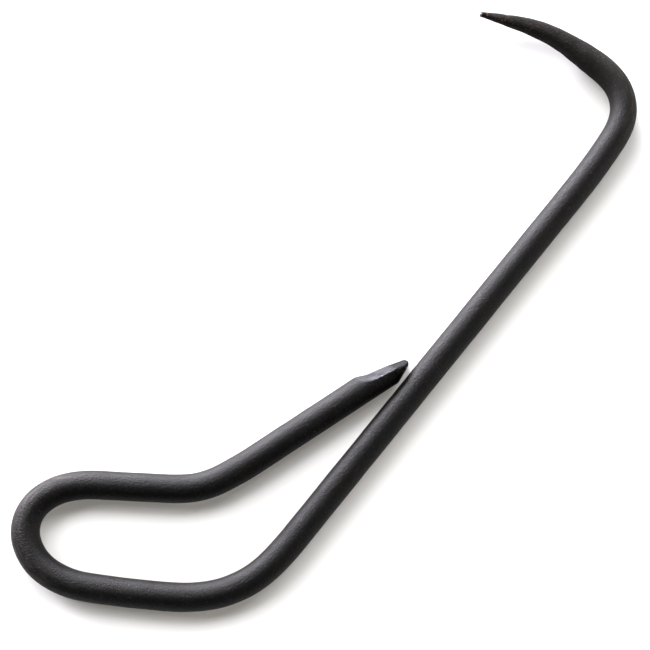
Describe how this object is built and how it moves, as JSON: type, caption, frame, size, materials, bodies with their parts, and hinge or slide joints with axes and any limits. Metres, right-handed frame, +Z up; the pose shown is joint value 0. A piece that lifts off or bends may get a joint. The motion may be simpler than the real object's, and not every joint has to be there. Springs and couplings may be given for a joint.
{
  "type": "hive tool",
  "caption": "Bent steel bar hive tool with a pointed right-angle hook, a straight shank and an open finger loop ending in a bevelled bar end.",
  "frame": {"origin": "middle of the tool's footprint, on the surface it lies on", "axes": "+X along the shank towards the hook, +Y towards the side that the hook and the finger loop stand on, +Z up from the surface"},
  "size_m": [0.2782, 0.087, 0.01],
  "materials": {
    "blackened_steel": "oil-blackened forge scale, satin, finely speckled, worn paler on the outsides of the bends"
  },
  "bodies": {
    "root": {"hook_point": "blackened_steel", "hook_bend": "blackened_steel", "shank": "blackened_steel", "heel_bend": "blackened_steel", "lower_grip_bar": "blackened_steel", "loop_bend": "blackened_steel", "upper_grip_bar": "blackened_steel", "knee_bend": "blackened_steel", "return_bar": "blackened_steel", "bevelled_end": "blackened_steel"}
  },
  "joints": []
}
